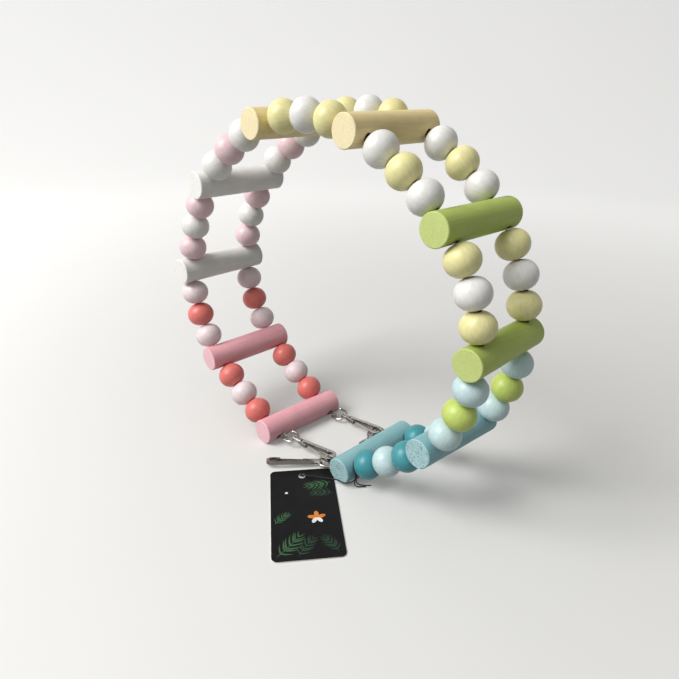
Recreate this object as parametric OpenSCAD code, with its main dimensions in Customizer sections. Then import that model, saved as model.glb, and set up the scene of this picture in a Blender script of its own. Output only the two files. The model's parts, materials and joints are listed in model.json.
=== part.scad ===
// Bead and dowel bird ladder, bent round into a standing hoop and closed by its own snap hooks.
// The frame's origin is the middle of the hoop's footprint, on the surface that it stands on.
// X runs from the pink end to the blue end, Y along the rungs from the near string to the far one.

/* [Rungs] */
// Number of rungs
rung_count = 10; // [10:1:10]
// Diameter of a rung
rung_d = 14.8; // [13:0.1:16]
// Length of a rung
rung_len = 56; // [50:0.5:64]
// Edge break at a rung's ends
rung_edge = 0.4; // [0.2:0.1:0.8]
// Diameter of the two holes through a rung
rung_bore_d = 4.4; // [4.2:0.1:5]
// Distance between the two strings
string_gap = 40; // [36:0.5:42]

/* [Beads] */
// Number of beads between two rungs on one string
bead_count = 3; // [3:1:3]
// Diameter of a bead
bead_d = 16; // [14.5:0.1:17]
// Length of a bead along the string
bead_len = 14; // [13:0.1:14.4]
// Diameter of the hole through a bead
bore_d = 3.6; // [3:0.1:4]

/* [Wire] */
// Diameter of the string's wire
wire_d = 1.2; // [1:0.1:1.4]
// Radius of the wire's loop at the pink end, to the wire's middle
start_loop_r = 1.9; // [1.9:0.1:2.4]
// Radius of the wire's loop at the blue end, to the wire's middle
end_loop_r = 3.6; // [3.5:0.1:4]

/* [Snap hooks] */
// Length of a hook with its swivel eye
hook_len = 39; // [37:0.5:42]
// Width across a hook's nose
nose_w = 8; // [7.4:0.1:8.4]
// Thickness of the hook's body
hook_t = 2.2; // [2:0.1:2.4]
// Radius of the seat inside the nose
seat_r = 2.2; // [1.9:0.1:2.3]
// Thickness of the spring gate
gate_t = 0.8; // [0.5:0.1:0.9]
// Width across a swivel eye
eye_w = 10; // [9.5:0.5:11]
// Diameter of the swivel eye's rod
eye_rod_d = 1.6; // [1.4:0.1:1.8]
// Diameter of the swivel's boss
boss_d = 3.4; // [3.2:0.1:3.8]
// Diameter of the hook's stem in the boss
stem_d = 2; // [1.8:0.1:2.2]

/* [Tag] */
// Width of the tag
tag_w = 35; // [30:1:40]
// Height of the tag
tag_h = 66; // [55:1:75]
// Thickness of the tag's card
tag_t = 0.6; // [0.4:0.1:0.8]
// Radius of the tag's corners
tag_corner = 3; // [2:0.5:6]
// Diameter of the tag's punched hole
tag_hole_d = 4; // [3:0.5:5]
// Diameter of the tag's thread
thread_d = 0.7; // [0.5:0.1:0.8]

/* [Fits] */
// Play between neighbours on a string
bead_play = 0.03; // [0.02:0.01:0.1]
// Radial play of the stem in the boss
stem_play = 0.05; // [0.02:0.01:0.1]
// Play between loose metal pieces
loose_play = 0.15; // [0.1:0.05:0.3]

/* [Hidden] */
$fn = 48;
SIDES = ["near", "far"];
ENDS = [1, rung_count];
GAPS = [for (g = [1:rung_count - 1]) g];

// Colours, rung by rung and gap by gap from the pink end
pink = [0.93, 0.62, 0.68];
coral = [0.89, 0.39, 0.37];
light_pink = [0.95, 0.86, 0.88];
white = [0.93, 0.93, 0.92];
yellow = [0.93, 0.91, 0.62];
butter = [0.95, 0.88, 0.55];
lime = [0.84, 0.90, 0.50];
green = [0.62, 0.74, 0.32];
light_blue = [0.78, 0.88, 0.90];
teal = [0.28, 0.61, 0.65];
aqua = [0.56, 0.76, 0.80];
nickel = [0.78, 0.78, 0.76];
RUNG_COLOURS = [pink, pink, white, white, butter, butter, green, green, aqua, aqua];
OUTER_COLOURS = [coral, light_pink, pink, white, yellow, white, yellow, light_blue, teal];
MIDDLE_COLOURS = [light_pink, coral, white, pink, white, yellow, white, lime, light_blue];

// The bend of each string, in degrees: at each bead of a gap, and at each rung between two gaps
BEAD_BEND = [[5, 11.5, 7, 7.5, 9.5, 6, 10.5, 10, 4.5], [3, 11, 9, 7, 10.5, 7, 9.5, 10, 8]];
RUNG_BEND = [[8.5, 14, 10.5, 10.5, 13, 7.5, 10, 13.5], [8.5, 14, 8, 9.5, 10.5, 8.5, 6.5, 13.5]];
// Where each string starts along X, and how far the far string is ahead on the whole
FIRST_RUNG_X = [-31.9, -25.9];
string_skew = 6;
// The strings lie behind the origin, as one hook reaches out in front
hoop_y = 7.3;

rung_r = rung_d / 2;
bore_r = bore_d / 2;
wire_r = wire_d / 2;
eye_rod_r = eye_rod_d / 2;
step = bead_count + 1;
last = step * (rung_count - 1);
bead_tube_r = bead_len / 2;
bead_belly = bead_d / 2 - bead_tube_r;
// Height of a bead's hole rim above its middle
bead_rim = sqrt(pow(bead_tube_r, 2) - pow(bore_r - bead_belly, 2));
skew_angle = atan(string_skew / string_gap);
rung_pitch =
    (rung_r + bead_tube_r + bead_belly * sin(skew_angle)) / cos(skew_angle) + bead_play;

// Directions of the wire's loops from the end rungs, in degrees below level
START_DROP = [14, 24];
end_drop = 12;
// Turn of an end rung's holes away from the string
end_hole_turn = 2;
start_reach = rung_r + start_loop_r + wire_r + loose_play;
end_reach = rung_r + end_loop_r + wire_r + loose_play;

// A hook is drawn with its eye's bar across the origin, its length along X and its breadth along Y
nose_r = nose_w / 2;
nose_x = hook_len - eye_rod_r - nose_r;
seat_end_x = nose_x + seat_r;
eye_half = eye_w / 2 - eye_rod_r;
eye_corner = 1.5;
eye_straight = 2.5;
eye_bow_x = eye_corner + eye_straight;
eye_top_x = eye_bow_x + eye_half;
boss_x = eye_top_x - eye_rod_r;
boss_l = 3.4;
rivet_r = 1.4;
rivet_t = 0.9;
rivet_top_x = eye_bow_x + sqrt(pow(eye_half - eye_rod_r, 2) - pow(rivet_r, 2)) - loose_play;
collar_t = 1.4;
neck_x = boss_x + boss_l + loose_play + collar_t;
neck_r = 1.7;
gate_x = neck_x + 2.4;
gate_y = -0.7;
gate_end_x = nose_x - 1.9;
gate_end_y = -seat_r + gate_t / 2 + loose_play;
gate_slope = atan((gate_end_y - gate_y) / (gate_end_x - gate_x));
pocket_r = gate_t / 2 + 0.25;
mouth_start_x = neck_x + 5;
mouth_end_x = nose_x - 2.8;

// The nose's middle stands this far above the blue loop's middle, and the eye below it
nose_lift = 1.2;
eye_sink = 1.8;
seat_offset = 1.2;
bar_offset = 0.2;
// At the pink end, how far the wire's loop stands from the middle of the eye's bar, and how the hooks lie
ring_slide = 2.2;
START_HEADING = [-2, -5.4];
START_EYE_ROLL = [8, 20];

// The string as a walk from rung 1 to the last rung, one step from middle to middle
function bend(s, i) = i % step == 0 ? RUNG_BEND[s][i / step - 1] : BEAD_BEND[s][floor(i / step)];
function rim_reach(a) = bead_rim * cos(a / 2) + bore_r * sin(a / 2);
function step_len(s, k, i) =
    i % step == 0 || i % step == bead_count
        ? rung_pitch
        : rim_reach(k * bend(s, i)) + rim_reach(k * bend(s, i + 1)) + bead_play;
function walk(s, k, i = 0, p = [0, 0], a = 0) =
    i == last
        ? [p]
        : concat([p], walk(
            s, k, i + 1,
            p + step_len(s, k, i) * [cos(a), sin(a)],
            i + 1 < last ? a - k * bend(s, i + 1) : a
        ));
function chord(s, k) = norm(walk(s, k)[last]);

// The distance between the end rungs follows from the closed hook, and all bends are scaled to it
function start_z(s) = rung_r - start_reach * sin(START_DROP[s]);
end_z = rung_r - end_reach * sin(end_drop);
function bar_rise(s) = ring_slide * sin(START_EYE_ROLL[s]);
function hook_rise(s) = asin((end_z + nose_lift - start_z(s) - bar_rise(s)) / seat_end_x);
function mouth(s) =
    start_reach * cos(START_DROP[s]) + bar_offset
    + seat_end_x * cos(hook_rise(s)) * cos(START_HEADING[s])
    + seat_offset + end_reach * cos(end_drop);
function solve(s, k0, k1, n) =
    n == 0 || abs(k1 - k0) < 0.000001
        ? k1
        : solve(s, k1, k1 - (chord(s, k1) - mouth(s)) * (k1 - k0) / (chord(s, k1) - chord(s, k0)), n - 1);
function level(points) =
    let (a = -atan2(points[last][1], points[last][0]))
    [for (p = points) [p[0] * cos(a) - p[1] * sin(a), p[0] * sin(a) + p[1] * cos(a)]];
BEND_SCALE = [for (s = [0, 1]) solve(s, 0.97, 1.01, 8)];
STRINGS = [
    for (s = [0, 1])
        [for (p = level(walk(s, BEND_SCALE[s]))) [p[0] + FIRST_RUNG_X[s], hoop_y + (s - 0.5) * string_gap, p[1] + rung_r]]
];

function unit(v) = v / norm(v);
function middle(s, i) = STRINGS[s][i];
function along(s, i) = unit(
    unit(middle(s, min(i + 1, last)) - middle(s, min(i, last - 1)))
    + unit(middle(s, max(i, 1)) - middle(s, max(i - 1, 0)))
);
function slope(s, i) = let (d = along(s, i)) atan2(d[2], d[0]);

function start_loop(s) =
    middle(s, 0) + start_reach * [cos(START_DROP[s]), 0, -sin(START_DROP[s])];
function end_loop(s) = middle(s, last) + end_reach * [-cos(end_drop), 0, -sin(end_drop)];

// A rung's holes turn with the string, square to the rung, and at the ends towards the wire's loops
function hole_slope(i) =
    let (a = (slope(0, i) + slope(1, i)) / 2)
    i == 0 ? a + end_hole_turn : i == last ? a - end_hole_turn : a;
function rung_axis(i) = unit(middle(1, i) - middle(0, i));
function hole_axis(i) =
    let (h = [cos(hole_slope(i)), 0, sin(hole_slope(i))], u = rung_axis(i))
    unit(h - (h * u) * u);

// Places children with their X, Y and Z along three square directions
module oriented(origin, x, y) {
    z = cross(x, y);
    multmatrix([
        [x[0], y[0], z[0], origin[0]],
        [x[1], y[1], z[1], origin[1]],
        [x[2], y[2], z[2], origin[2]],
        [0, 0, 0, 1]
    ]) children();
}

module rung(r) {
    i = step * (r - 1);
    near = middle(0, i);
    far = middle(1, i);
    color(RUNG_COLOURS[r - 1])
        oriented((near + far) / 2, hole_axis(i), rung_axis(i))
            difference() {
                rotate([-90, 0, 0])
                    rotate_extrude()
                        polygon([
                            [0, -rung_len / 2],
                            [rung_r - rung_edge, -rung_len / 2],
                            [rung_r, -rung_len / 2 + rung_edge],
                            [rung_r, rung_len / 2 - rung_edge],
                            [rung_r - rung_edge, rung_len / 2],
                            [0, rung_len / 2]
                        ]);
                for (y = [-1, 1] * norm(far - near) / 2)
                    translate([0, y, 0])
                        rotate([0, 90, 0])
                            cylinder(d = rung_bore_d, h = rung_d + 2, center = true);
            }
}

// A bead is a disc of round section, so its sides are round and its ends a little flat
module bead(s, i) {
    translate(middle(s, i))
        rotate([0, 90 - slope(s, i), 0])
            difference() {
                rotate_extrude()
                    intersection() {
                        translate([bead_belly, 0])
                            circle(r = bead_tube_r);
                        translate([0, -bead_len])
                            square([bead_d, 2 * bead_len]);
                    }
                cylinder(d = bore_d, h = bead_len + 2, center = true);
            }
}

module outer_beads(g, s) {
    color(OUTER_COLOURS[g - 1])
        for (i = [1, bead_count])
            bead(s, step * (g - 1) + i);
}

module middle_beads(g) {
    color(MIDDLE_COLOURS[g - 1])
        for (s = [0, 1])
            bead(s, step * (g - 1) + 2);
}

// A tube of even section swept along a row of points
function heading(points, i) =
    unit(points[min(i + 1, len(points) - 1)] - points[max(i - 1, 0)]);
function tube_ring(points, i, r, sides, across) =
    let (
        t = heading(points, i),
        u = unit(cross(t, across)),
        v = cross(t, u),
        before = unit(points[max(i, 1)] - points[max(i - 1, 0)]),
        mitre = 1 / max(0.7, t * before)
    )
    [for (n = [0:sides - 1]) points[i] + r * (cos(360 * n / sides) * mitre * u + sin(360 * n / sides) * v)];
module tube(points, r, sides, across) {
    count = len(points);
    rings = [for (i = [0:count - 1]) each tube_ring(points, i, r, sides, across)];
    walls = [
        for (i = [0:count - 2], n = [0:sides - 1])
            let (a = i * sides + n, b = i * sides + (n + 1) % sides)
            each [[a, b, b + sides], [a, b + sides, a + sides]]
    ];
    polyhedron(
        points = rings,
        faces = concat(
            [[for (n = [sides - 1:-1:0]) n]],
            walls,
            [[for (n = [0:sides - 1]) (count - 1) * sides + n]]
        ),
        convexity = 10
    );
}

// The points of a wire's end loop, from the rung's side round to just short of itself
loop_turn = 20;
function loop_points(centre, from, r, open) =
    let (d = from - centre, a0 = atan2(d[2], d[0]), count = floor((360 - open) / loop_turn))
    [for (n = [0:count]) centre + r * [cos(a0 - n * loop_turn), 0, sin(a0 - n * loop_turn)]];
function flipped(list) = [for (i = [len(list) - 1:-1:0]) list[i]];
function start_exit(s) = middle(s, 0) - (rung_r + wire_r) * [cos(hole_slope(0)), 0, sin(hole_slope(0))];
function end_exit(s) = middle(s, last) + (rung_r + wire_r) * [cos(hole_slope(last)), 0, sin(hole_slope(last))];

module string_wire(s) {
    points = concat(
        flipped(loop_points(start_loop(s), start_exit(s), start_loop_r, 50)),
        [start_exit(s)],
        STRINGS[s],
        [end_exit(s)],
        loop_points(end_loop(s), end_exit(s), end_loop_r, 40)
    );
    color(nickel)
        tube(points, wire_r, 8, [0, 1, 0]);
}

// How each hook lies: its bar's place from the wire's loop, its heading and its fall, then its eye's and
// its body's roll. The pink end's hooks are pulled between the loops, and the blue end's hang on theirs
START_LIE = [
    for (s = [0, 1])
        [[bar_offset, ring_slide, bar_rise(s)], START_HEADING[s], -hook_rise(s), START_EYE_ROLL[s], 4]
];
END_LIE = [
    [[-0.7, 1.3, -eye_sink], -143, 1, 0, 20],
    [[0.4 - eye_half, eye_corner + 1.5, -eye_sink], -90, 2.9, 0, 0]
];

module hook_frame(r, s, part) {
    lie = r == 1 ? START_LIE[s] : END_LIE[s];
    loop = r == 1 ? start_loop(s) : end_loop(s);
    translate(loop + lie[0])
        rotate([part == "eye" ? lie[3] : lie[4], lie[2], lie[1]])
            children();
}

// The swivel eye: a D of round rod with a bored boss at the middle of its bow
module swivel_eye(r, s) {
    color(nickel)
        hook_frame(r, s, "eye")
            difference() {
                union() {
                    rotate([90, 0, 0])
                        cylinder(r = eye_rod_r, h = 2 * (eye_half - eye_corner), center = true);
                    for (side = [-1, 1]) {
                        translate([eye_corner, side * (eye_half - eye_corner), 0])
                            rotate([0, 0, side > 0 ? 90 : 180])
                                rotate_extrude(angle = 90)
                                    translate([eye_corner, 0])
                                        circle(r = eye_rod_r);
                        translate([eye_corner, side * eye_half, 0])
                            rotate([0, 90, 0])
                                cylinder(r = eye_rod_r, h = eye_straight);
                    }
                    translate([eye_bow_x, 0, 0])
                        rotate([0, 0, -90])
                            rotate_extrude(angle = 180)
                                translate([eye_half, 0])
                                    circle(r = eye_rod_r);
                    translate([boss_x, 0, 0])
                        rotate([0, 90, 0])
                            cylinder(d = boss_d, h = boss_l);
                }
                translate([eye_bow_x, 0, 0])
                    rotate([0, 90, 0])
                        cylinder(r = stem_d / 2 + stem_play, h = boss_x + boss_l);
            }
}

// The hook's flat outline: a shank that widens to a round nose, round a long eye with an open side
module hook_outline() {
    difference() {
        union() {
            polygon([
                [neck_x - 0.2, -neck_r],
                [nose_x, -nose_r],
                [nose_x, nose_r],
                [neck_x - 0.2, neck_r]
            ]);
            translate([nose_x, 0])
                circle(r = nose_r);
        }
        translate([gate_x, gate_y])
            circle(r = pocket_r);
        polygon([
            [gate_x, gate_y - pocket_r],
            [mouth_end_x, -seat_r],
            [nose_x, -seat_r],
            [nose_x, seat_r],
            [gate_x, gate_y + pocket_r]
        ]);
        polygon([
            [mouth_start_x, 0],
            [mouth_end_x, -seat_r / 2],
            [mouth_end_x, -nose_w],
            [mouth_start_x, -nose_w]
        ]);
    }
    translate([mouth_end_x, -(seat_r + nose_r) / 2 + 0.1])
        circle(r = (nose_r - seat_r) / 2 - 0.1);
}

module hook(r, s) {
    color(nickel)
        hook_frame(r, s, "hook") {
            difference() {
                translate([0, 0, -hook_t / 2])
                    linear_extrude(hook_t)
                        hook_outline();
                translate([nose_x, 0, 0])
                    cylinder(r = seat_r, h = hook_t + 1, center = true);
            }
            translate([neck_x - collar_t, 0, 0])
                rotate([0, 90, 0])
                    cylinder(r = neck_r, h = collar_t);
            translate([rivet_top_x - rivet_t, 0, 0])
                rotate([0, 90, 0]) {
                    cylinder(r = rivet_r, h = rivet_t);
                    cylinder(d = stem_d, h = neck_x - rivet_top_x + rivet_t);
                }
        }
}

// The gate: a leaf that turns in the pocket at its foot and shuts against the inside of the nose's tip
module gate(r, s) {
    leaf = norm([gate_end_x - gate_x, gate_end_y - gate_y]);
    color(nickel)
        hook_frame(r, s, "hook")
            translate([gate_x, gate_y, 0])
                rotate([0, 0, gate_slope])
                    translate([0, 0, -hook_t / 2 + 0.1])
                        linear_extrude(hook_t - 0.2) {
                            translate([0, -gate_t / 2])
                                square([leaf, gate_t]);
                            circle(r = gate_t / 2);
                            translate([leaf, 0])
                                circle(r = gate_t / 2);
                        }
}

// The card tag, lying on the surface in front of the blue end
tag_place = [27.3, -48.7, 0];
tag_turn = 46;
tag_hole_y = tag_h / 2 - 5.5;
module hang_tag() {
    color([0.1, 0.1, 0.1])
        translate(tag_place)
            rotate([0, 0, tag_turn])
                linear_extrude(tag_t)
                    difference() {
                        union() {
                            square([tag_w - 2 * tag_corner, tag_h], center = true);
                            square([tag_w, tag_h - 2 * tag_corner], center = true);
                            for (x = [-1, 1], y = [-1, 1])
                                translate([x * (tag_w / 2 - tag_corner), y * (tag_h / 2 - tag_corner)])
                                    circle(r = tag_corner);
                        }
                        translate([0, tag_hole_y])
                            circle(d = tag_hole_d);
                    }
}

// The thread's route, from the tag's hole past the last rung and round the near wire behind it
THREAD_ROUTE = [
    [7.5, -29.4, 0.4], [8.7, -28.8, 1.2], [12.1, -27.4, 1.6], [16, -25.8, 1.9], [20, -24.4, 2.4],
    [23.7, -23.3, 3], [27.5, -22.5, 3.5], [31.6, -22.5, 3.8], [34.4, -20.6, 4.2], [35.5, -18.5, 5],
    [35.5, -17.1, 6.5], [35.1, -16.7, 8.3], [34.2, -16.9, 10.1], [33.3, -16.5, 11.9],
    [32.5, -15.3, 13.2], [32, -12.7, 13.9], [32.5, -10.1, 13.7], [33.5, -8.1, 12.9],
    [34.7, -7.3, 11.5], [35.3, -8.1, 9.7], [35.4, -10.1, 8.4], [35.3, -12.7, 7.8], [35.4, -14.6, 7.4]
];
module tag_thread() {
    color([0.12, 0.12, 0.12])
        tube(THREAD_ROUTE, thread_d / 2, 8, [0.9, 0, 0.45]);
}

for (r = [1:rung_count])
    rung(r);
for (g = GAPS, s = [0, 1])
    outer_beads(g, s);
for (g = GAPS)
    middle_beads(g);
for (s = [0, 1])
    string_wire(s);
for (r = ENDS, s = [0, 1])
    swivel_eye(r, s);
for (r = ENDS, s = [0, 1])
    hook(r, s);
for (r = ENDS, s = [0, 1])
    gate(r, s);
hang_tag();
tag_thread();
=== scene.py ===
"""Looks of the bead and dowel ladder: paint, nickel plate, the printed tag with its thread, and the stage."""
import json
import math

import bmesh
import bpy
import numpy as np
from mathutils import Matrix, Vector


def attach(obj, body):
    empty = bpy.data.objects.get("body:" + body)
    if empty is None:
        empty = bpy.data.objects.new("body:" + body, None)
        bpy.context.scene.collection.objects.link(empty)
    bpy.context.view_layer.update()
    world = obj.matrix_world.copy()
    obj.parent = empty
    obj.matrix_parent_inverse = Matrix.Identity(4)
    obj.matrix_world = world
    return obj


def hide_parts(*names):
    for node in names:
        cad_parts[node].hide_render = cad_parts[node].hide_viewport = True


bl_info = {
    "name": "Bead Ladder Looks",
    "version": (1, 0, 0),
    "blender": (4, 5, 0),
    "location": "View3D > Sidebar > Bead Ladder",
    "description": "Finishes every piece of a bead and dowel ladder and sets its stage",
    "category": "Object",
}

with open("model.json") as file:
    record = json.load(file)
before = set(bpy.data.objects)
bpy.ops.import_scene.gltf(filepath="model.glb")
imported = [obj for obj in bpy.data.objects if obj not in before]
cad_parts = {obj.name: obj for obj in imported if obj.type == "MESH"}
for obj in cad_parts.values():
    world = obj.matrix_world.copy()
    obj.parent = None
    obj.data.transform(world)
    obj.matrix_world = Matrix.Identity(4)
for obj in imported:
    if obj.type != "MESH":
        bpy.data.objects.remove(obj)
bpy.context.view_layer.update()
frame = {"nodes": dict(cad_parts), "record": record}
NODES = frame["nodes"]
RUNGS = 10
GAPS = RUNGS - 1
SIDES = ("near", "far")
MM = 0.001
WELD = 1e-6  # Points of a CAD mesh nearer than this, in metres, are one point

# Points along a bead's section from rim to rim, and round it
BEAD_ARC = 33
BEAD_SIDES = 48

# The Mix node's inputs and output for colours
MIX_FACTOR, MIX_A, MIX_B, MIX_RESULT = 0, 6, 7, 2

# Share of the paint's tone left in a pore, and of the plating's on a stamped wall: painted shade for the dark room
# it reflects
PORE_TONE = 0.30
WALL_SHADE_TONE = 0.34

RUNG_PAINTS = ("pink", "pink", "white", "white", "butter", "butter", "green", "green", "aqua", "aqua")
OUTER_PAINTS = ("coral", "light_pink", "pink", "white", "yellow", "white", "yellow", "light_blue", "teal")
MIDDLE_PAINTS = ("light_pink", "coral", "white", "pink", "white", "yellow", "white", "lime", "light_blue")

# The tag's middle, turn and upper face on the surface it lies on, in millimetres and degrees
TAG_MIDDLE = (27.3, -48.7)
TAG_TURN = 46
TAG_TOP = 0.6

# Heights of the prints over the tag's face: each shape lies a step higher than the one before it in its ink, so
# that none share a plane, and is rooted this deep in the card, in millimetres
PRINT_STEP = 0.0006
PRINT_ROOT = 0.05
PRINT_LIFTS = {"dark_blades": 0.004, "light_blades": 0.045, "orange_petals": 0.010, "white_petals": 0.020}

# Fronds as their root across and up the tag, direction, reach and bend, in millimetres and degrees
FRONDS = [((-15.0, -30.0), 42, 17, 14), ((15.5, 21.0), 200, 14, -22), ((-15.5, -9.0), 58, 10, -30)]
DIM_FRONDS = [((-5.0, -31.0), 62, 14, -16), ((15.8, 12.0), 168, 12, 20), ((14.0, -29.5), 112, 12, 24)]
FLOWER = (5.5, -6.0)
PALE_DOT = (-9.0, 14.0)

# The thread from the tag's hole to its knot on the near wire, its two cut ends, and its knots, in millimetres
THREAD_ROUTE = [
    [7.5, -29.4, 0.4], [8.7, -28.8, 1.2], [12.1, -27.4, 1.6], [16, -25.8, 1.9], [20, -24.4, 2.4],
    [23.7, -23.3, 3], [27.5, -22.5, 3.5], [31.6, -22.5, 3.8], [34.4, -20.6, 4.2], [35.5, -18.5, 5],
    [35.5, -17.1, 6.5], [35.1, -16.7, 8.3], [34.2, -16.9, 10.1], [33.3, -16.5, 11.9],
    [32.5, -15.3, 13.2], [32, -12.7, 13.9], [32.5, -10.1, 13.7], [33.5, -8.1, 12.9],
    [34.7, -7.3, 11.5], [35.3, -8.1, 9.7], [35.4, -10.1, 8.4], [35.3, -12.7, 7.8], [35.4, -14.6, 7.4],
]
THREAD_TAILS = [
    [
        (35.9, -16.9, 6.4), (36.2, -17.6, 4.4), (36.6, -16.9, 2.4),
        (37.8, -15.2, 1.0), (39.8, -13.2, 0.5), (41.8, -11.4, 0.5),
    ],
    [
        (35.9, -17.1, 6.2), (35.7, -18.3, 4.0), (36.2, -18.4, 1.8),
        (37.4, -17.0, 0.7), (39.0, -15.2, 0.5), (40.4, -14.2, 0.5),
    ],
]
THREAD_KNOT = (35.6, -16.4, 6.6)
HOLE_KNOT = (7.3, -29.6, 1.25)
THREAD_PLIES = 3
THREAD_PITCH = 2.2 * MM

# Lamps as place, size and colour, the point they are aimed at, the sky's brightest direction, and its darkest part
# as a share of its brightest, in metres
KEY_LAMP = ((-0.42, -0.72, 0.92), (0.7, 0.7), (1.0, 0.99, 0.97))
FILL_LAMP = ((1.0, -0.5, 0.7), (0.8, 0.8), (0.95, 0.98, 1.0))
LAMP_TARGET = (0.0, 0.0, 0.08)
SKY_BRIGHT = (-0.75, -0.45, 0.48)
SKY_DARKEST = 0.18


def colour(name, default, what):
    """A colour that a user can change."""
    return bpy.props.FloatVectorProperty(
        name=name, description=what, default=default, subtype="COLOR", size=3, min=0.0, max=1.0
    )


def length(name, default, what):
    """A length that a user can change, in metres."""
    return bpy.props.FloatProperty(name=name, description=what, default=default, unit="LENGTH", min=0.0)


def share(name, default, what):
    """A share from 0 to 1 that a user can change."""
    return bpy.props.FloatProperty(name=name, description=what, default=default, subtype="FACTOR", min=0.0, max=1.0)


class LADDER_PG_paints(bpy.types.PropertyGroup):
    """Colours of the painted wood, in linear light."""

    coral: colour("Coral", (0.76, 0.185, 0.160), "Paint of the coral beads")
    light_pink: colour("Light pink", (0.86, 0.71, 0.74), "Paint of the palest pink beads")
    pink_bead: colour("Pink bead", (0.82, 0.60, 0.635), "Paint of the pink beads")
    pink: colour("Pink", (0.84, 0.41, 0.465), "Paint of the pink rungs")
    white: colour("White", (0.80, 0.79, 0.77), "Paint of the white beads and rungs")
    yellow: colour("Yellow", (0.81, 0.755, 0.37), "Paint of the yellow beads")
    butter: colour("Butter", (0.81, 0.66, 0.335), "Paint of the yellow rungs")
    lime: colour("Lime", (0.54, 0.66, 0.155), "Paint of the lime beads")
    green: colour("Green", (0.42, 0.53, 0.115), "Paint of the green rungs")
    light_blue: colour("Light blue", (0.56, 0.73, 0.755), "Paint of the light blue beads")
    teal: colour("Teal", (0.055, 0.30, 0.35), "Paint of the teal beads")
    aqua: colour("Aqua", (0.26, 0.49, 0.53), "Paint of the aqua rungs")
    raw_wood: colour("Raw wood", (0.34, 0.22, 0.12), "Bare wood inside the holes of beads and rungs")


class LADDER_PG_beads(bpy.types.PropertyGroup):
    """Sizes of a bead's surface."""

    diameter: length("Diameter", 16 * MM, "Diameter of a bead")
    span: length("Length", 14 * MM, "Length of a bead along the string")
    hole: length("Hole", 3.6 * MM, "Diameter of the hole through a bead")
    rim: length("Rim", 0.35 * MM, "Radius that rounds the hole's rim")
    unevenness: share("Unevenness", 0.003, "How far a turned bead strays from round, as a share of its radius")


class LADDER_PG_metal(bpy.types.PropertyGroup):
    """Finish of the plated pieces."""

    nickel: colour("Nickel", (0.52, 0.495, 0.465), "Colour of the nickel plate")
    wire: colour("Wire", (0.36, 0.35, 0.335), "Colour of the strings' steel wire")
    edge: length("Edge", 0.16 * MM, "Radius that rounds the hooks' edges")


class LADDER_PG_tag(bpy.types.PropertyGroup):
    """Sizes and colours of the tag, its print and its thread."""

    black: colour("Black", (0.009, 0.009, 0.010), "Printed ground of the tag")
    card: colour("Card", (0.80, 0.79, 0.76), "Bare card at the tag's edge")
    leaf: colour("Leaf", (0.050, 0.130, 0.058), "Lighter green of the printed blades")
    dark_leaf: colour("Dark leaf", (0.020, 0.055, 0.028), "Darker green of the printed blades")
    orange: colour("Orange", (0.66, 0.22, 0.04), "Printed petals")
    petal: colour("Petal", (0.78, 0.78, 0.76), "Printed white petals")
    thread: colour("Thread", (0.014, 0.014, 0.015), "Colour of the thread")
    thread_diameter: length("Thread diameter", 0.7 * MM, "Diameter of the tag's thread")


class LADDER_PG_stage(bpy.types.PropertyGroup):
    """Camera, lights and backdrop."""

    camera_at: bpy.props.FloatVectorProperty(
        name="Camera place", description="Where the camera stands", size=3, unit="LENGTH",
        default=(0.179768, -0.211012, 0.19614),
    )
    azimuth: bpy.props.FloatProperty(
        name="Azimuth", description="Camera's turn about the upright", subtype="ANGLE", default=math.radians(38.884)
    )
    pitch: bpy.props.FloatProperty(
        name="Pitch", description="How far the camera looks down", subtype="ANGLE", default=math.radians(24.249)
    )
    roll: bpy.props.FloatProperty(
        name="Roll", description="Camera's turn about its own axis", subtype="ANGLE", default=0.008677
    )
    lens: bpy.props.FloatProperty(
        name="Lens", description="Focal length in millimetres on a 36 mm sensor", default=29.3888, min=1.0
    )
    backdrop: colour("Backdrop", (0.60, 0.598, 0.588), "Colour of the floor and the wall, as the camera sees them")
    bounce: colour("Bounce", (0.32, 0.32, 0.312), "Colour that the floor and the wall cast back on the ladder")
    # Painted light: the backdrop glows for camera, glossy and transmission rays, faintly by the ladder and more a
    # metre off and to the left; this evens out the lamp's falloff, lightens the ladder's shadow on the floor and
    # stands in for light from the left
    near_glow: bpy.props.FloatProperty(
        name="Near haze", description="Glow of the floor by the ladder, as the camera sees it", default=0.13, min=0.0
    )
    far_glow: bpy.props.FloatProperty(
        name="Haze", description="Glow of the wall, as the camera sees it", default=0.56, min=0.0
    )
    slant: bpy.props.FloatProperty(
        name="Slant", description="How much the glow grows in a metre to the left", default=0.11
    )
    ambient: bpy.props.FloatProperty(name="Ambient", description="Strength of the sky", default=0.62, min=0.0)
    key: bpy.props.FloatProperty(name="Key", description="Power of the main lamp in watts", default=16.5, min=0.0)
    fill: bpy.props.FloatProperty(name="Fill", description="Power of the second lamp in watts", default=0.8, min=0.0)


def linked(kind, tree, **sockets):
    """A new node of a tree, with its inputs set to plain values or joined to another node's output. An input is
    given by its name with _ for a space, or by its number after an i."""
    node = tree.nodes.new(kind)
    for key, value in sockets.items():
        numbered = key[0] == "i" and key[1:].isdigit()
        socket = node.inputs[int(key[1:]) if numbered else key.replace("_", " ")]
        if isinstance(value, bpy.types.NodeSocket):
            tree.links.new(value, socket)
        else:
            socket.default_value = value
    return node


def new_material(name):
    """A new material with its node tree and its shader."""
    material = bpy.data.materials.new(name)
    material.use_nodes = True
    tree = material.node_tree
    return material, tree, tree.nodes["Principled BSDF"]


def scaled_noise(tree, vector, scale, detail=2.0, low=0.0, high=1.0):
    """Noise in a socket's coordinates, stretched from its usual spread of 0.3 to 0.7 to low and high."""
    noise = linked("ShaderNodeTexNoise", tree, Vector=vector, Scale=scale, Detail=detail)
    spread = linked("ShaderNodeMapRange", tree, Value=noise.outputs["Fac"])
    spread.inputs["From Min"].default_value = 0.3
    spread.inputs["From Max"].default_value = 0.7
    spread.inputs["To Min"].default_value = low
    spread.inputs["To Max"].default_value = high
    return spread.outputs["Result"]


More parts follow.
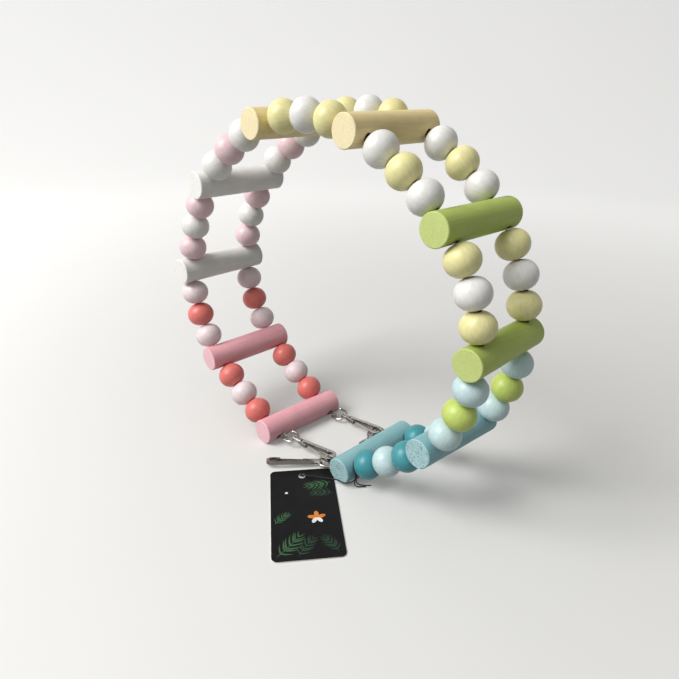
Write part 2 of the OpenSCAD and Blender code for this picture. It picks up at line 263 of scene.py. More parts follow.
def mixed(tree, factor, a, b, blend="MIX"):
    """Colour a mixed with colour b by a factor, each a socket or a colour."""
    mix = tree.nodes.new("ShaderNodeMix")
    mix.data_type = "RGBA"
    mix.blend_type = blend
    for place, value in ((MIX_FACTOR, factor), (MIX_A, a), (MIX_B, b)):
        if isinstance(value, bpy.types.NodeSocket):
            tree.links.new(value, mix.inputs[place])
        else:
            mix.inputs[place].default_value = value if place == MIX_FACTOR else (*value[:3], 1.0)
    return mix.outputs[MIX_RESULT]


def grey(tree, value):
    """A number socket as a grey colour socket."""
    join = linked("ShaderNodeCombineColor", tree, i0=value, i1=value, i2=value)
    return join.outputs["Color"]


def sum_of(tree, *values):
    """The sum of number sockets, at most 1."""
    total = values[0]
    for value in values[1:]:
        add = linked("ShaderNodeMath", tree, i0=total, i1=value)
        add.operation = "ADD"
        add.use_clamp = True
        total = add.outputs["Value"]
    return total


def attribute(tree, name):
    """A node that reads a mesh's own attribute."""
    node = tree.nodes.new("ShaderNodeAttribute")
    node.attribute_name = name
    return node


def bump_normal(tree, shader, height, strength, distance):
    """Joins a height socket to the shader's normal."""
    bump = linked("ShaderNodeBump", tree, Strength=strength, Distance=distance, Height=height)
    tree.links.new(bump.outputs["Normal"], shader.inputs["Normal"])


def paint_material(name, paint, raw_wood, gloss, end_specks):
    """Paint on turned wood: faint mottling and streaks in its colour, brushed-on relief, pore specks on the end
    faces, and bare wood in the holes. The end faces are also drawn paler, a painted highlight for the light that
    falls on them. The attributes bare and end, from 0 to 1, and the vector grain come from the painted piece."""
    material, tree, shader = new_material(name)
    place = tree.nodes.new("ShaderNodeTexCoord").outputs["Object"]
    grain = attribute(tree, "grain").outputs["Vector"]
    bare = attribute(tree, "bare").outputs["Fac"]
    end = attribute(tree, "end").outputs["Fac"]
    mottle = scaled_noise(tree, place, 130.0, 3.0, 0.94, 1.03)
    streak = scaled_noise(tree, grain, 1.0, 3.0, 0.91, 1.03)
    tint = mixed(tree, 1.0, paint, grey(tree, mottle), "MULTIPLY")
    tint = mixed(tree, 1.0, tint, grey(tree, streak), "MULTIPLY")
    pore = linked("ShaderNodeTexNoise", tree, Vector=place, Scale=1350.0, Detail=1.0)
    pit = linked("ShaderNodeMapRange", tree, Value=pore.outputs["Fac"])
    pit.inputs["From Min"].default_value = 0.56
    pit.inputs["From Max"].default_value = 0.64
    pit.inputs["To Max"].default_value = end_specks
    speck = linked("ShaderNodeMath", tree, i0=pit.outputs["Result"], i1=end)
    speck.operation = "MULTIPLY"
    # Painted highlight: the end faces' tone is lifted by a gamma of 0.68 for the light that falls on them
    pale = linked("ShaderNodeGamma", tree, Color=tint, Gamma=0.68)
    tint = mixed(tree, end, tint, pale.outputs["Color"])
    tint = mixed(tree, speck.outputs["Value"], tint, tuple(PORE_TONE * c for c in paint))
    tint = mixed(tree, bare, tint, raw_wood)
    tree.links.new(tint, shader.inputs["Base Color"])
    rough = scaled_noise(tree, place, 260.0, 2.0, gloss - 0.05, gloss + 0.06)
    tree.links.new(rough, shader.inputs["Roughness"])
    fibre = linked("ShaderNodeTexNoise", tree, Vector=grain, Scale=1.6, Detail=4.0)
    peel = linked("ShaderNodeTexNoise", tree, Vector=place, Scale=900.0, Detail=2.0)
    relief = linked("ShaderNodeMath", tree, i0=fibre.outputs["Fac"], i1=peel.outputs["Fac"])
    relief.operation = "ADD"
    bump_normal(tree, shader, relief.outputs["Value"], 0.35, 0.00009)
    shader.inputs["Specular IOR Level"].default_value = 0.45
    return material


def metal_material(name, tone, roughness):
    """Plated metal: a mirror with soft clouding, fine wear marks and a little waviness. The attribute wall, from 0
    to 1, darkens the stamped edges with painted shade, which stands for the darker room that these side walls
    reflect."""
    material, tree, shader = new_material(name)
    place = tree.nodes.new("ShaderNodeTexCoord").outputs["Object"]
    cloud = scaled_noise(tree, place, 420.0, 3.0, 0.86, 1.04)
    # Painted shade: the stamped side walls take a darker tone, for the dark room they reflect
    wall_shade = mixed(tree, attribute(tree, "wall").outputs["Fac"], tone, tuple(WALL_SHADE_TONE * c for c in tone))
    tree.links.new(mixed(tree, 1.0, wall_shade, grey(tree, cloud), "MULTIPLY"), shader.inputs["Base Color"])
    rough = scaled_noise(tree, place, 900.0, 3.0, roughness - 0.06, roughness + 0.10)
    tree.links.new(rough, shader.inputs["Roughness"])
    wave = linked("ShaderNodeTexNoise", tree, Vector=place, Scale=700.0, Detail=2.0)
    bump_normal(tree, shader, wave.outputs["Fac"], 0.25, 0.00006)
    shader.inputs["Metallic"].default_value = 1.0
    return material


def card_material(name, tone, roughness, scale=2600.0, depth=0.00002, sheen=0.25):
    """Coated or bare card, or ink on it: a fine fibre grain and soft changes of tone."""
    material, tree, shader = new_material(name)
    place = tree.nodes.new("ShaderNodeTexCoord").outputs["Object"]
    cloud = scaled_noise(tree, place, 160.0, 3.0, 0.85, 1.10)
    tree.links.new(mixed(tree, 1.0, tone, grey(tree, cloud), "MULTIPLY"), shader.inputs["Base Color"])
    rough = scaled_noise(tree, place, 500.0, 2.0, roughness - 0.05, roughness + 0.08)
    tree.links.new(rough, shader.inputs["Roughness"])
    fibre = linked("ShaderNodeTexNoise", tree, Vector=place, Scale=scale, Detail=2.0)
    bump_normal(tree, shader, fibre.outputs["Fac"], 0.3, depth)
    shader.inputs["Specular IOR Level"].default_value = sheen
    return material


def grid_faces(rows, columns, wrap_rows, wrap_columns):
    """Four-sided faces of a grid of points kept row by row, closed round its rows, its columns or both."""
    r = np.arange(rows if wrap_rows else rows - 1)[:, None]
    c = np.arange(columns if wrap_columns else columns - 1)[None, :]
    r1 = (r + 1) % rows
    c1 = (c + 1) % columns
    corners = (r * columns + c, r * columns + c1, r1 * columns + c1, r1 * columns + c)
    return np.stack(corners, axis=-1).reshape(-1, 4)


def add_piece(name, points, faces, body, smooth=True, attributes=None):
    """Makes a mesh object from points and faces, with float or vector attributes on its points, and lets it ride
    on a body."""
    mesh = bpy.data.meshes.new(name)
    mesh.from_pydata(np.asarray(points, float).tolist(), [], [list(map(int, f)) for f in faces])
    for key, values in (attributes or {}).items():
        values = np.asarray(values, np.float32)
        kind = "FLOAT" if values.ndim == 1 else "FLOAT_VECTOR"
        field = "value" if values.ndim == 1 else "vector"
        mesh.attributes.new(key, kind, "POINT").data.foreach_set(field, values.ravel())
    mesh.polygons.foreach_set("use_smooth", np.full(len(mesh.polygons), smooth))
    mesh.update()
    piece = bpy.data.objects.new(name, mesh)
    bpy.context.scene.collection.objects.link(piece)
    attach(piece, body)
    return piece


def face_attribute(piece, name, values):
    """Gives each face of a piece a number that its material reads."""
    values = np.asarray(values, np.float32)
    piece.data.attributes.new(name, "FLOAT", "FACE").data.foreach_set("value", values)


def solid_of(node):
    """A node's corner points with doubles welded, and its triangles."""
    mesh = NODES[node].data
    co = np.empty(len(mesh.vertices) * 3, np.float32)
    mesh.vertices.foreach_get("co", co)
    corners = np.empty(len(mesh.loops), np.int32)
    mesh.loops.foreach_get("vertex_index", corners)
    _, first, place = np.unique(
        np.round(co.reshape(-1, 3) / WELD).astype(np.int64), axis=0, return_index=True, return_inverse=True
    )
    triangles = place.ravel()[corners].reshape(-1, 3)
    distinct = (
        (triangles[:, 0] != triangles[:, 1])
        & (triangles[:, 1] != triangles[:, 2])
        & (triangles[:, 2] != triangles[:, 0])
    )
    return co.reshape(-1, 3)[first].astype(float), triangles[distinct]


def body_of(node):
    """The body that a CAD node rides on."""
    return next(b for b, names in frame["record"]["behaviour"]["bodies"].items() if node in names)


def merge_flats(mesh, angle):
    """Joins the triangles of each flat face into one face."""
    work = bmesh.new()
    work.from_mesh(mesh)
    bmesh.ops.dissolve_limit(work, angle_limit=angle, verts=work.verts, edges=work.edges)
    work.to_mesh(mesh)
    work.free()


def bead_places(node):
    """The middle and the hole's direction of each of a node's two beads. The beads are told apart along the
    direction in which the node's points spread most. A bead is the same from both ends, so its box gives its
    middle, and the direction in which its surface faces least is its hole's."""
    points, triangles = solid_of(node)
    spread = np.linalg.svd(points - points.mean(0), full_matrices=False)[2][0]
    along = points @ spread
    half = (along.min() + along.max()) / 2
    places = []
    for side in (-1, 1):
        own = triangles[(along[triangles[:, 0]] - half) * side > 0]
        a, b, c = (points[own[:, k]] for k in range(3))
        facing = np.cross(b - a, c - a)
        area = np.linalg.norm(facing, axis=1)
        keep = area > 0
        tensor = (facing[keep].T / area[keep]) @ facing[keep]
        used = points[np.unique(own)]
        places.append(((used.min(0) + used.max(0)) / 2, np.linalg.eigh(tensor)[1][:, 0]))
    return places


def bead_profile(size):
    """A bead's closed section as radius and height: an arc about a point off the axis, a small round at each
    rim of the hole and the straight hole between them. Also how bare each point is."""
    arc_r = size.span / 2
    off = size.diameter / 2 - arc_r
    hole = size.hole / 2
    reach = math.acos((hole + size.rim - off) / arc_r)
    turn = np.linspace(-reach, reach, BEAD_ARC)
    arc = np.stack([off + arc_r * np.cos(turn), arc_r * np.sin(turn)], 1)
    top = arc[-1, 1]
    fillet = np.radians(np.linspace(110, 180, 5))
    upper = np.stack([hole + size.rim + size.rim * np.cos(fillet), top - size.rim + size.rim * np.sin(fillet)], 1)
    bore = np.stack([np.full(3, hole), np.linspace(0.6, -0.6, 3) * top], 1)
    lower = upper[::-1] * (1, -1)
    bare = np.concatenate([np.zeros(len(arc)), [0.2, 0.6, 1, 1, 1], np.ones(3), [1, 1, 1, 0.6, 0.2]])
    return np.concatenate([arc, upper, bore, lower]), bare


def square_directions(axis):
    """Two directions square to an axis that isn't +Y, and to each other."""
    aside = np.cross(axis, (0.0, 1.0, 0.0))
    aside /= np.linalg.norm(aside)
    return aside, np.cross(axis, aside)


def bead_surface(middle, axis, size, number):
    """A bead: its section turned about its hole's direction, with the radius eased by two slow waves round it.
    Gives its points row by row, how bare each is and its place in the grain."""
    section, bare = bead_profile(size)
    around = np.radians(np.linspace(0, 360, BEAD_SIDES, endpoint=False))
    aside, across = square_directions(axis)
    wave = np.sin(2 * around + 1.7 * number) + 0.6 * np.sin(3 * around + 2.9 * number)
    radius = section[:, :1] * (1 + size.unevenness * wave[None, :])
    spokes = np.cos(around)[:, None] * aside + np.sin(around)[:, None] * across
    points = middle + radius[..., None] * spokes[None] + section[:, 1, None, None] * axis
    ring = np.repeat(around[None], len(section), 0)
    high = np.repeat(section[:, 1:], len(around), 1)
    grain = np.stack([np.cos(ring) * 6 + number, np.sin(ring) * 6, high / MM * 0.35], -1)
    return points.reshape(-1, 3), np.repeat(bare, BEAD_SIDES), grain.reshape(-1, 3)


class LADDER_OT_beads(bpy.types.Operator):
    """Turn the painted beads, two to each piece, with rounded rims and bare holes"""

    bl_idname = "ladder.beads"
    bl_label = "Beads"

    def execute(self, context):
        size = context.scene.ladder_beads
        paints = context.scene.ladder_paints
        jobs = [(f"outer_beads_{g}_{s}", OUTER_PAINTS[g - 1]) for g in range(1, GAPS + 1) for s in SIDES]
        jobs += [(f"middle_beads_{g}", MIDDLE_PAINTS[g - 1]) for g in range(1, GAPS + 1)]
        coats = {}
        for number, (node, paint) in enumerate(jobs):
            if paint not in coats:
                tone = paints.pink_bead if paint == "pink" else getattr(paints, paint)
                coats[paint] = paint_material(f"bead_{paint}", tuple(tone), tuple(paints.raw_wood), 0.36, 0.0)
            parts = [bead_surface(m, a, size, 2 * number + k) for k, (m, a) in enumerate(bead_places(node))]
            count = len(parts[0][0])
            faces = grid_faces(count // BEAD_SIDES, BEAD_SIDES, True, True)
            piece = add_piece(
                f"painted_{node}",
                np.concatenate([p[0] for p in parts]),
                np.concatenate([faces, faces + count]),
                body_of(node),
                attributes={
                    "bare": np.concatenate([p[1] for p in parts]),
                    "end": np.zeros(2 * count),
                    "grain": np.concatenate([p[2] for p in parts]),
                },
            )
            piece.data.materials.append(coats[paint])
            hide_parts(node)
        return {"FINISHED"}


class LADDER_OT_rungs(bpy.types.Operator):
    """Paint the dowel rungs, with streaks along the wood, specks on their end grain and end faces drawn paler as a
    painted highlight
    """

    bl_idname = "ladder.rungs"
    bl_label = "Rungs"

    def execute(self, context):
        paints = context.scene.ladder_paints
        coats = {}
        for number, paint in enumerate(RUNG_PAINTS):
            node = f"rung_{number + 1}"
            if paint not in coats:
                specks = 0.62 if paint == "aqua" else 0.1
                tone = tuple(getattr(paints, paint))
                coats[paint] = paint_material(f"rung_{paint}", tone, tuple(paints.raw_wood), 0.52, specks)
            points, triangles = solid_of(node)
            middle = (points.min(0) + points.max(0)) / 2
            axis = np.linalg.svd(points - middle, full_matrices=False)[2][0]
            # A rung lies nearly along +Y, so a little of +X keeps the two directions defined
            aside, across = square_directions(axis + 0.001 * np.array((1, 0, 0)))
            out = points - middle
            along = out @ axis
            radius = np.hypot(out @ aside, out @ across).max()
            half_length = np.abs(along).max()
            # The end faces, drawn paler as a painted highlight, and specked with pores
            end = (np.abs(along) > half_length - 0.05 * MM).astype(float)
            grain = np.stack([along / MM * 0.06 + 7 * number, out @ aside / MM * 1.6, out @ across / MM * 1.6], -1)
            piece = add_piece(
                f"painted_{node}", points, triangles, body_of(node),
                attributes={"end": end, "grain": grain},
            )
            face_middle = out[triangles].mean(1)
            deep = np.hypot(face_middle @ aside, face_middle @ across) < 0.8 * radius
            face_attribute(piece, "bare", deep & (np.abs(face_middle @ axis) < half_length - 2 * MM))
            piece.data.set_sharp_from_angle(angle=math.radians(30))
            piece.data.materials.append(coats[paint])
            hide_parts(node)
        return {"FINISHED"}


class LADDER_OT_metal(bpy.types.Operator):
    """Plate the hooks, their gates and eyes, and finish the two wires"""

    bl_idname = "ladder.metal"
    bl_label = "Hooks and wires"

    def execute(self, context):
        metal = context.scene.ladder_metal
        nickel = metal_material("nickel_plate", tuple(metal.nickel), 0.16)
        steel = metal_material("steel_wire", tuple(metal.wire), 0.30)
        for rung in (1, RUNGS):
            for side in SIDES:
                for kind in ("hook", "gate"):
                    node = f"{kind}_{rung}_{side}"
                    points, triangles = solid_of(node)
                    piece = add_piece(f"plated_{node}", points, triangles, body_of(node))
                    merge_flats(piece.data, math.radians(1.5))
                    # How far each face turns from the plate's flat; the material paints shade on the side walls by
                    # it
                    thin = np.linalg.svd(points - points.mean(0), full_matrices=False)[2][2]
                    facing = np.empty(3 * len(piece.data.polygons), np.float32)
                    piece.data.polygons.foreach_get("normal", facing)
                    face_attribute(piece, "wall", 1 - np.abs(facing.reshape(-1, 3) @ thin))
                    piece.data.set_sharp_from_angle(angle=math.radians(40))
                    bevel = piece.modifiers.new("rounded_edges", "BEVEL")
                    bevel.width = metal.edge if kind == "hook" else metal.edge / 2
                    bevel.segments = 2
                    bevel.angle_limit = math.radians(40)
                    bevel.use_clamp_overlap = True
                    piece.data.materials.append(nickel)
                    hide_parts(node)
                eye = NODES[f"swivel_eye_{rung}_{side}"].data.materials
                eye.clear()
                eye.append(nickel)
        for side in SIDES:
            wire = NODES[f"string_wire_{side}"].data.materials
            wire.clear()
            wire.append(steel)
        return {"FINISHED"}


def on_tag(flat, lift):
    """Points given across and up the tag, in millimetres from its middle, laid on its printed face."""
    turn = math.radians(TAG_TURN)
    x = TAG_MIDDLE[0] + flat[..., 0] * math.cos(turn) - flat[..., 1] * math.sin(turn)
    y = TAG_MIDDLE[1] + flat[..., 0] * math.sin(turn) + flat[..., 1] * math.cos(turn)
    return np.stack([x, y, np.full_like(x, TAG_TOP + lift)], -1) * MM


def blade_outline(root, angle, reach, width, bend, steps=14):
    """A printed blade's outline and middle line. The line turns evenly by its bend, and the half width swells
    as the sine of the square root of the way along it and closes at both ends."""
    way = np.linspace(0, 1, steps)
    heading = np.radians(angle + bend * way)
    forward = np.stack([np.cos(heading), np.sin(heading)], -1) * reach / (steps - 1)
    middle = np.asarray(root, float) + np.concatenate([[[0.0, 0.0]], np.cumsum(forward[:-1], 0)])
    half = width / 2 * np.sin(np.pi * np.sqrt(way)) + 0.02
    aside = half[:, None] * np.stack([-np.sin(heading), np.cos(heading)], -1)
    return np.concatenate([middle - aside, (middle + aside)[::-1]]), middle


def frond(root, angle, reach, bend):
    """A printed frond: a thin stem with pairs of blades that lean out from it and shorten to its tip."""
    stem, line = blade_outline(root, angle, reach, 0.35, bend)
    blades = [stem]
    for way in np.linspace(0.14, 0.94, 7):
        at = line[int(round(way * (len(line) - 1)))]
        for side in (-1, 1):
            size = reach * (0.12 + 0.30 * math.sin(math.pi * (0.18 + 0.75 * way)))
            lean = angle + bend * way + side * (66 - 30 * way)
            blades.append(blade_outline(at, lean, size, 0.10 * size + 0.12, -side * 26)[0])
    return blades


def oval_outline(middle, half_long, half_wide, angle, steps=28):
    """A printed oval's outline: a circle stretched along one direction and turned."""
    around = np.radians(np.linspace(0, 360, steps, endpoint=False))
    turn = math.radians(angle)
    u = half_long * np.cos(around)
    v = half_wide * np.sin(around)
    x = middle[0] + u * math.cos(turn) - v * math.sin(turn)
    y = middle[1] + u * math.sin(turn) + v * math.cos(turn)
    return np.stack([x, y], -1)


def petal(angle, out, half_long, half_wide):
    """A printed petal that points away from the flower's middle."""
    turn = math.radians(angle)
    middle = (FLOWER[0] + out * math.cos(turn), FLOWER[1] + out * math.sin(turn))
    return oval_outline(middle, half_long, half_wide, angle)


def add_print(name, outlines, tone):
    """Joins printed shapes of one ink into one piece. Each is a thin closed prism rooted in the card, and lies
    a little higher than the one before it."""
    points, faces, start = [], [], 0
    for number, outline in enumerate(outlines):
        count = len(outline)
        points += [on_tag(outline, PRINT_LIFTS[name] + PRINT_STEP * number), on_tag(outline, -PRINT_ROOT)]
        here = start + np.arange(count)
        after = np.roll(here, -1)
        faces += [here.tolist(), (here[::-1] + count).tolist()]
        faces += np.stack([here + count, after + count, after, here], -1).tolist()
        start += 2 * count
    piece = add_piece(name, np.concatenate(points), faces, "ladder", smooth=False)
    piece.data.materials.append(card_material(f"ink_{name}", tone, 0.42))


class LADDER_OT_tag(bpy.types.Operator):
    """Print the hang tag with a plain design of leaf blades and one small flower"""

    bl_idname = "ladder.tag"
    bl_label = "Tag"

    def execute(self, context):
        tag = context.scene.ladder_tag
        points, triangles = solid_of("hang_tag")
        piece = add_piece("tag_card", points, triangles, "ladder")
        merge_flats(piece.data, math.radians(1.0))
        piece.data.set_sharp_from_angle(angle=math.radians(40))
        piece.data.materials.append(card_material("bare_card", tuple(tag.card), 0.7))
        piece.data.materials.append(card_material("black_ink", tuple(tag.black), 0.38, sheen=0.12))
        for face in piece.data.polygons:
            face.material_index = 1 if face.normal.z > 0.9 else 0
        bevel = piece.modifiers.new("soft_edge", "BEVEL")
        bevel.width = 0.08 * MM
        bevel.segments = 2
        bevel.angle_limit = math.radians(40)
        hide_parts("hang_tag")
        dim_fronds = [blade for place in DIM_FRONDS for blade in frond(*place)]
        fronds = [blade for place in FRONDS for blade in frond(*place)]
        add_print("dark_blades", dim_fronds, tuple(tag.dark_leaf))
        add_print("light_blades", fronds, tuple(tag.leaf))
        add_print("orange_petals", [petal(a, 2.4, 2.3, 1.2) for a in (20, 92, 164)], tuple(tag.orange))
        pale = [petal(a, 2.2, 2.0, 1.1) for a in (236, 308)] + [oval_outline(PALE_DOT, 0.8, 0.8, 0)]
        add_print("white_petals", pale, tuple(tag.petal))
        return {"FINISHED"}


def smooth_path(points, count):
    """Points evenly along a curve that passes through the given ones: each stretch is a cubic whose ends lean
    along the line between the neighbours."""
    p = np.asarray(points, float)
    p = np.concatenate([[2 * p[0] - p[1]], p, [2 * p[-1] - p[-2]]])
    t = np.linspace(0, 1, 12, endpoint=False)[None, :, None]
    a, b, c, d = (p[k:len(p) - 3 + k][:, None] for k in range(4))
    curve = 0.5 * (2 * b + (c - a) * t + (2 * a - 5 * b + 4 * c - d) * t**2 + (3 * b - a - 3 * c + d) * t**3)
    curve = np.concatenate([curve.reshape(-1, 3), p[-2:-1]])
    way = np.concatenate([[0], np.cumsum(np.linalg.norm(np.diff(curve, axis=0), axis=1))])
    even = np.linspace(0, way[-1], count)
    return np.stack([np.interp(even, way, curve[:, k]) for k in range(3)], 1)


def twisted_tube(path, radius, plies, pitch, sides=12, taper=0.0):
    """A tube along a path whose section is a round with one lobe for each ply, and turns once each pitch. Its
    ends narrow by the taper. A frame is carried along the path by turning the last side direction square to each
    new heading."""
    heading = np.gradient(path, axis=0)
    heading /= np.linalg.norm(heading, axis=1)[:, None]
    side = np.empty_like(path)
    last = np.cross(heading[0], (0.3, 0.2, 1.0))
    for k, forward in enumerate(heading):
        last = last - forward * (last @ forward)
        last /= np.linalg.norm(last)
        side[k] = last
    other = np.cross(heading, side)
    way = np.concatenate([[0], np.cumsum(np.linalg.norm(np.diff(path, axis=0), axis=1))])
    around = np.radians(np.linspace(0, 360, sides, endpoint=False))
    lobes = np.abs(np.cos(plies / 2 * (around[None] - 2 * np.pi * way[:, None] / pitch)))
    ends = 1 - taper * np.clip(1 - np.minimum(way, way[-1] - way) / (2 * radius), 0, 1)
    r = radius * (0.84 + 0.16 * lobes) * ends[:, None]
    points = path[:, None] + r[..., None] * (
        np.cos(around)[None, :, None] * side[:, None] + np.sin(around)[None, :, None] * other[:, None]
    )
    faces = grid_faces(len(path), sides, False, True)
    caps = [list(range(sides))[::-1], list(range((len(path) - 1) * sides, len(path) * sides))]
    return points.reshape(-1, 3), faces.tolist() + caps


def knot_path(middle, size, rise):
    """A trefoil about a point: two loops in the flat for each turn round it, and three rises and falls."""
    turn = np.linspace(0, 2 * np.pi, 90)
    loops = np.stack([
        np.sin(turn) + 1.6 * np.sin(2 * turn),
        np.cos(turn) - 1.6 * np.cos(2 * turn),
        -rise / size * np.sin(3 * turn),
    ], 1)
    return (np.asarray(middle) + size * loops) * MM


class LADDER_OT_thread(bpy.types.Operator):
    """Tie the tag's twisted thread round the near wire, with its knot and cut ends"""

    bl_idname = "ladder.thread"
    bl_label = "Thread"

    def execute(self, context):
        tag = context.scene.ladder_tag
        waxed = card_material("waxed_thread", tuple(tag.thread), 0.45, 3500.0, 0.00004)
        radius = tag.thread_diameter / 2
        route = smooth_path(np.array(THREAD_ROUTE[::-1]) * MM, 260)
        points, faces = twisted_tube(route, radius, THREAD_PLIES, THREAD_PITCH)
        thread = add_piece("tag_thread_twisted", points, faces, "ladder")
        thread.data.materials.append(waxed)
        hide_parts("tag_thread")
        strands = [twisted_tube(knot_path(THREAD_KNOT, 0.42, 1.1), 0.8 * radius, THREAD_PLIES, 2.0 * MM)]
        for tail in THREAD_TAILS:
            path = smooth_path(np.array(tail) * MM, 40)
            strands.append(twisted_tube(path, 0.9 * radius, THREAD_PLIES, THREAD_PITCH, taper=0.25))
        all_faces, start = [], 0
        for points, faces in strands:
            all_faces += [[corner + start for corner in face] for face in faces]
            start += len(points)
        all_points = np.concatenate([points for points, faces in strands])
        knot = add_piece("tag_thread_knot", all_points, all_faces, "ladder")
        knot.data.materials.append(waxed)
        points, faces = twisted_tube(knot_path(HOLE_KNOT, 0.5, 0.55), 0.9 * radius, THREAD_PLIES, THREAD_PITCH)
        stop_knot = add_piece("tag_hole_knot", points, faces, "ladder")
        stop_knot.data.materials.append(waxed)
        return {"FINISHED"}


def lamp(name, place, size, tone, power):
    """A rectangular area lamp that is aimed at the hoop and hidden from the camera."""
    data = bpy.data.lights.new(name, "AREA")
    data.shape = "RECTANGLE"
    data.size, data.size_y = size
    data.energy = power
    data.color = tone
    lit = bpy.data.objects.new(name, data)
    lit.location = place
    lit.rotation_euler = (Vector(LAMP_TARGET) - Vector(place)).to_track_quat("-Z", "Y").to_euler()
    lit.visible_camera = False
    bpy.context.scene.collection.objects.link(lit)


def bowl_surface(flat, bend, wall, rings=40, sides=96):
    """A stage: a level disc, a quarter round and an upright wall, turned about the upright through the origin."""
    turn = np.radians(np.linspace(0, 90, 16))
    section = np.concatenate([
        np.stack([np.linspace(0.001, flat, rings), np.zeros(rings)], 1),
        np.stack([flat + bend * np.sin(turn[1:]), bend * (1 - np.cos(turn[1:]))], 1),
        [[flat + bend, bend + wall]],
    ])
    around = np.radians(np.linspace(0, 360, sides, endpoint=False))
    points = np.stack([
        section[:, :1] * np.cos(around), section[:, :1] * np.sin(around), np.repeat(section[:, 1:], sides, 1)
    ], -1)
    faces = [f[::-1] for f in grid_faces(len(section), sides, False, True).tolist()]
    return points.reshape(-1, 3), faces + [list(range(sides))]


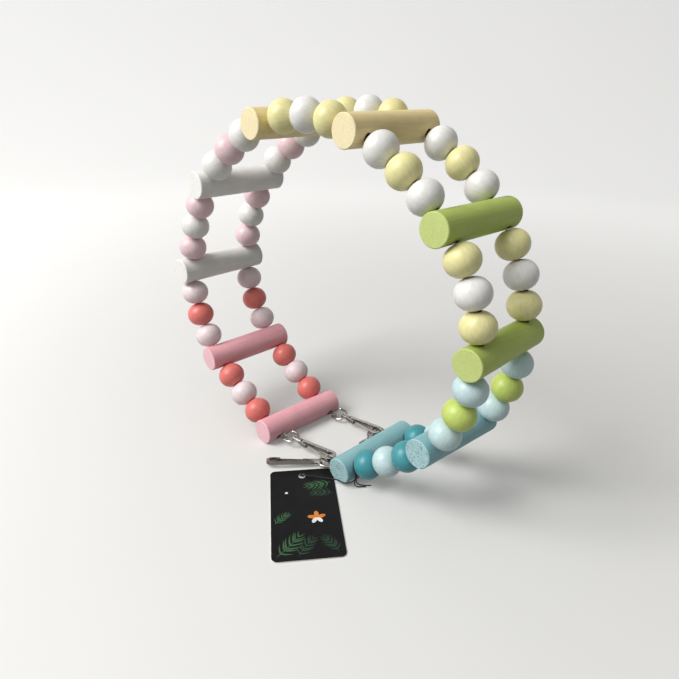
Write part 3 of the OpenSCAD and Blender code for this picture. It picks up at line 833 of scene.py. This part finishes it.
class LADDER_OT_stage(bpy.types.Operator):
    """Set the pale seamless stage with its painted glow, its soft lamps and the camera"""

    bl_idname = "ladder.stage"
    bl_label = "Stage"

    def execute(self, context):
        scene = context.scene
        stage = scene.ladder_stage
        points, faces = bowl_surface(1.1, 0.9, 0.8)
        mesh = bpy.data.meshes.new("backdrop")
        mesh.from_pydata(points.tolist(), [], faces)
        mesh.polygons.foreach_set("use_smooth", np.full(len(mesh.polygons), True))
        backdrop = bpy.data.objects.new("backdrop", mesh)
        scene.collection.objects.link(backdrop)
        material, tree, shader = new_material("backdrop_paper")
        place = tree.nodes.new("ShaderNodeTexCoord").outputs["Object"]
        cloud = scaled_noise(tree, place, 3.0, 2.0, 0.985, 1.01)
        rays = tree.nodes.new("ShaderNodeLightPath").outputs
        seen = sum_of(tree, rays["Is Camera Ray"], rays["Is Glossy Ray"], rays["Is Transmission Ray"])
        tone = mixed(tree, seen, tuple(stage.bounce), tuple(stage.backdrop))
        tree.links.new(mixed(tree, 1.0, tone, grey(tree, cloud), "MULTIPLY"), shader.inputs["Base Color"])
        # Painted light: the backdrop's glow, seen by camera, glossy and transmission rays, grows with distance and
        # to the left
        reach = linked("ShaderNodeVectorMath", tree, i0=place)
        reach.operation = "LENGTH"
        far_off = linked("ShaderNodeMapRange", tree, Value=reach.outputs["Value"])
        far_off.interpolation_type = "SMOOTHSTEP"
        far_off.inputs["From Min"].default_value = 0.0
        far_off.inputs["From Max"].default_value = 1.0
        far_off.inputs["To Min"].default_value = stage.near_glow
        far_off.inputs["To Max"].default_value = stage.far_glow
        leftward = linked("ShaderNodeVectorMath", tree, i0=place)
        leftward.operation = "DOT_PRODUCT"
        leftward.inputs[1].default_value = (-math.cos(stage.azimuth), -math.sin(stage.azimuth), 0.0)
        slanted = linked(
            "ShaderNodeMath", tree, i0=leftward.outputs["Value"], i1=stage.slant, i2=far_off.outputs["Result"]
        )
        slanted.operation = "MULTIPLY_ADD"
        glow = linked("ShaderNodeMath", tree, i0=slanted.outputs["Value"], i1=seen)
        glow.operation = "MULTIPLY"
        tree.links.new(glow.outputs["Value"], shader.inputs["Emission Strength"])
        shader.inputs["Emission Color"].default_value = (1.0, 0.997, 0.985, 1.0)
        shader.inputs["Roughness"].default_value = 0.75
        shader.inputs["Specular IOR Level"].default_value = 0.2
        mesh.materials.append(material)

        world = bpy.data.worlds.new("soft_sky")
        world.use_nodes = True
        scene.world = world
        sky = world.node_tree
        background = sky.nodes["Background"]
        background.inputs["Color"].default_value = (1.0, 0.995, 0.985, 1.0)
        toward = linked("ShaderNodeVectorMath", sky, i0=sky.nodes.new("ShaderNodeTexCoord").outputs["Generated"])
        toward.operation = "DOT_PRODUCT"
        toward.inputs[1].default_value = Vector(SKY_BRIGHT).normalized()
        side = linked("ShaderNodeMapRange", sky, Value=toward.outputs["Value"])
        side.interpolation_type = "SMOOTHSTEP"
        side.inputs["From Min"].default_value = -0.6
        side.inputs["From Max"].default_value = 0.9
        side.inputs["To Min"].default_value = SKY_DARKEST * stage.ambient
        side.inputs["To Max"].default_value = stage.ambient
        sky.links.new(side.outputs["Result"], background.inputs["Strength"])
        lamp("key_lamp", *KEY_LAMP, stage.key)
        lamp("fill_lamp", *FILL_LAMP, stage.fill)

        azimuth, pitch, roll = stage.azimuth, stage.pitch, stage.roll
        back = Vector((math.sin(azimuth) * math.cos(pitch), -math.cos(azimuth) * math.cos(pitch), math.sin(pitch)))
        level = Vector((math.cos(azimuth), math.sin(azimuth), 0.0))
        above = back.cross(level)
        right = math.cos(roll) * level + math.sin(roll) * above
        up = -math.sin(roll) * level + math.cos(roll) * above
        data = bpy.data.cameras.new("camera")
        data.sensor_fit = "HORIZONTAL"
        data.sensor_width = 36.0
        data.lens = stage.lens
        data.clip_start = 0.01
        camera = bpy.data.objects.new("camera", data)
        turn = Matrix((right, up, back)).transposed().to_4x4()
        camera.matrix_world = Matrix.Translation(stage.camera_at) @ turn
        scene.collection.objects.link(camera)
        scene.camera = camera
        scene.view_settings.view_transform = "Standard"
        return {"FINISHED"}


class LADDER_PT_looks(bpy.types.Panel):
    """Lists the ladder's pieces and their sizes and colours"""

    bl_idname = "LADDER_PT_looks"
    bl_label = "Bead Ladder"
    bl_space_type = "VIEW_3D"
    bl_region_type = "UI"
    bl_category = "Bead Ladder"

    def draw(self, context):
        for operator in OPERATORS:
            self.layout.operator(operator.bl_idname)
        for name, group in GROUPS.items():
            box = self.layout.box()
            box.label(text=name.replace("_", " "))
            for key in group.__annotations__:
                box.prop(getattr(context.scene, name), key)


GROUPS = {
    "ladder_paints": LADDER_PG_paints,
    "ladder_beads": LADDER_PG_beads,
    "ladder_metal": LADDER_PG_metal,
    "ladder_tag": LADDER_PG_tag,
    "ladder_stage": LADDER_PG_stage,
}
OPERATORS = (
    LADDER_OT_stage,
    LADDER_OT_tag,
    LADDER_OT_thread,
    LADDER_OT_rungs,
    LADDER_OT_beads,
    LADDER_OT_metal,
)


def register():
    for group in GROUPS.values():
        bpy.utils.register_class(group)
    for name, group in GROUPS.items():
        setattr(bpy.types.Scene, name, bpy.props.PointerProperty(type=group))
    for operator in OPERATORS:
        bpy.utils.register_class(operator)
    bpy.utils.register_class(LADDER_PT_looks)


def unregister():
    bpy.utils.unregister_class(LADDER_PT_looks)
    for operator in reversed(OPERATORS):
        bpy.utils.unregister_class(operator)
    for name, group in reversed(GROUPS.items()):
        delattr(bpy.types.Scene, name)
        bpy.utils.unregister_class(group)


def main():
    register()
    bpy.ops.ladder.stage()
    bpy.ops.ladder.tag()
    bpy.ops.ladder.thread()
    bpy.ops.ladder.rungs()
    bpy.ops.ladder.beads()
    bpy.ops.ladder.metal()


if __name__ == "__main__":
    main()
